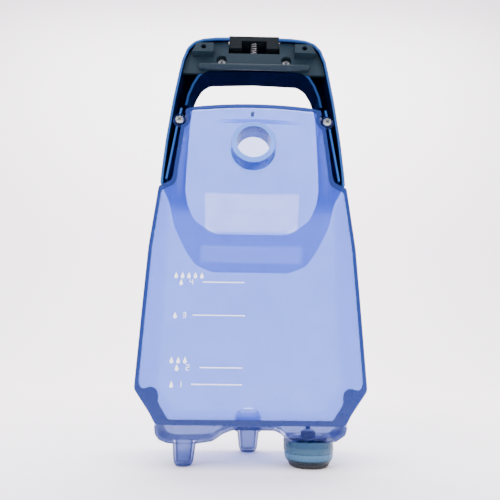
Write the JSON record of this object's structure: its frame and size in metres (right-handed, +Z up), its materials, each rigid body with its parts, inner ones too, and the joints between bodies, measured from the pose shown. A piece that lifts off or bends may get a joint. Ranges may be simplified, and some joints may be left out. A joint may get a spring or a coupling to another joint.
{
  "type": "clean-water tank of an upright floor washer",
  "caption": "Translucent tank with a filler neck, a carrying frame with a sprung latch, and a screw-on outlet valve that opens when pushed up.",
  "frame": {"origin": "centre of the bounding box in X and Y, at the level of the feet tips the tank stands on", "axes": "+Z up; -Y is the rear face with the filler neck and level marks; +X is to the right when that face is looked at"},
  "size_m": [0.2052, 0.1268, 0.443],
  "materials": {
    "clear_tank": "translucent periwinkle",
    "frame_blue": "deep translucent blue",
    "grip_grey": "steel blue-grey, satin",
    "cap_blue": "steel blue",
    "stem_blue": "navy",
    "pale_plastic": "natural",
    "badge": "plain label",
    "print_white": "printed",
    "rubber_black": "matt",
    "screw_steel": "zinc plated",
    "spring_steel": "drawn wire"
  },
  "bodies": {
    "tank": {"rear_shell": "clear_tank", "front_shell": "clear_tank", "vent_valve": "stem_blue", "level_marks": "print_white", "front_badge": "badge", "handle_frame": "frame_blue", "handle_cover": "grip_grey", "handle_screws": "screw_steel", "frame_screws": "screw_steel", "latch_spring": "spring_steel"},
    "latch": {"latch_slider": "grip_grey"},
    "gasket": {"valve_gasket": "rubber_black"},
    "cap": {"valve_cap": "cap_blue", "valve_boot": "rubber_black", "valve_cage": "stem_blue", "valve_screen": "spring_steel", "valve_spring": "spring_steel"},
    "plunger": {"valve_plunger": "stem_blue", "valve_disc": "rubber_black", "valve_clip": "pale_plastic"}
  },
  "joints": [
    {"name": "latch_slide", "type": "slide", "parent": "tank", "child": "latch", "axis": [0, 0, -1], "range_m": [0, 0.0055], "stiffness_N_per_m": 400, "springref_m": -0.006, "deforming": ["latch_spring"]},
    {"name": "cap_advance", "type": "slide", "parent": "tank", "child": "gasket", "axis": [0, 0, -1], "range_m": [0, 0.006]},
    {"name": "cap_turn", "type": "hinge", "parent": "gasket", "child": "cap", "pos_m": [0.053, -0.0186, 0], "axis": [0, 0, -1], "range_deg": [0, 540]},
    {"name": "valve_lift", "type": "slide", "parent": "cap", "child": "plunger", "axis": [0, 0, 1], "range_m": [0, 0.0045], "stiffness_N_per_m": 400, "springref_m": -0.004, "deforming": ["valve_spring"]}
  ],
  "couplings": [
    {"joint": "cap_advance", "follows": "cap_turn", "m_per_rad": 0.000636}
  ]
}
